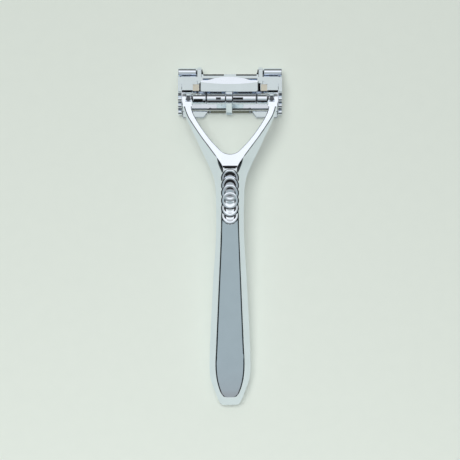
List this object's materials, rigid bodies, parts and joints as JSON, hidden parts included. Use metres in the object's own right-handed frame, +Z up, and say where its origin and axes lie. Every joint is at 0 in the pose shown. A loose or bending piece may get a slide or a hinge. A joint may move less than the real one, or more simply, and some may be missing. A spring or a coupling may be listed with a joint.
{
  "type": "pivoting-head safety razor",
  "caption": "All-metal razor: a forked faceted handle holds a sprung pivoting head whose hinged cap clamps loose half blades, with a thumb latch on its back.",
  "frame": {"origin": "centre of the footprint at the level of the shaving face, which is also the surface that the razor lies on", "axes": "+X across the head, +Y from the butt of the handle to the head, +Z up, away from the skin"},
  "size_m": [0.0446, 0.1453, 0.0188],
  "materials": {
    "polished_chrome": "mirror-polished chrome over a metal casting",
    "pin_steel": "ground stainless pins",
    "dark_steel": "blackened steel",
    "blade_steel": "thin rolled stainless strip with a ground edge",
    "spring_steel": "drawn spring wire",
    "magnet_nickel": "nickel-plated disc magnets"
  },
  "bodies": {
    "handle": {"yoke_handle": "polished_chrome", "pivot_axle": "pin_steel", "arm_set_screws": "dark_steel", "thrust_washers": "dark_steel", "spring_anchor": "pin_steel", "head_spring": "spring_steel"},
    "head": {"blade_tray": "polished_chrome", "blade_1": "blade_steel", "blade_2": "blade_steel", "blade_3": "blade_steel", "seat_magnets": "magnet_nickel", "hinge_pin_left": "pin_steel", "hinge_pin_right": "pin_steel", "hinge_pin_clips": "dark_steel", "latch_spring": "spring_steel"},
    "cap": {"cap_frame": "polished_chrome", "catch_bar": "polished_chrome", "catch_rivets": "pin_steel"},
    "latch": {"latch_lever": "polished_chrome"}
  },
  "joints": [
    {"name": "head_pivot", "type": "hinge", "parent": "handle", "child": "head", "pos_m": [0, 0.0589, 0.011], "axis": [1, 0, 0], "range_deg": [0, 38], "stiffness_Nm_per_rad": 0.02},
    {"name": "cap_hinge", "type": "hinge", "parent": "head", "child": "cap", "pos_m": [0, 0.0706, 0.0052], "axis": [1, 0, 0], "range_deg": [0, 110]},
    {"name": "latch_pivot", "type": "hinge", "parent": "head", "child": "latch", "pos_m": [0, 0.0589, 0.011], "axis": [1, 0, 0], "range_deg": [-6, 0], "stiffness_Nm_per_rad": 0.02}
  ]
}
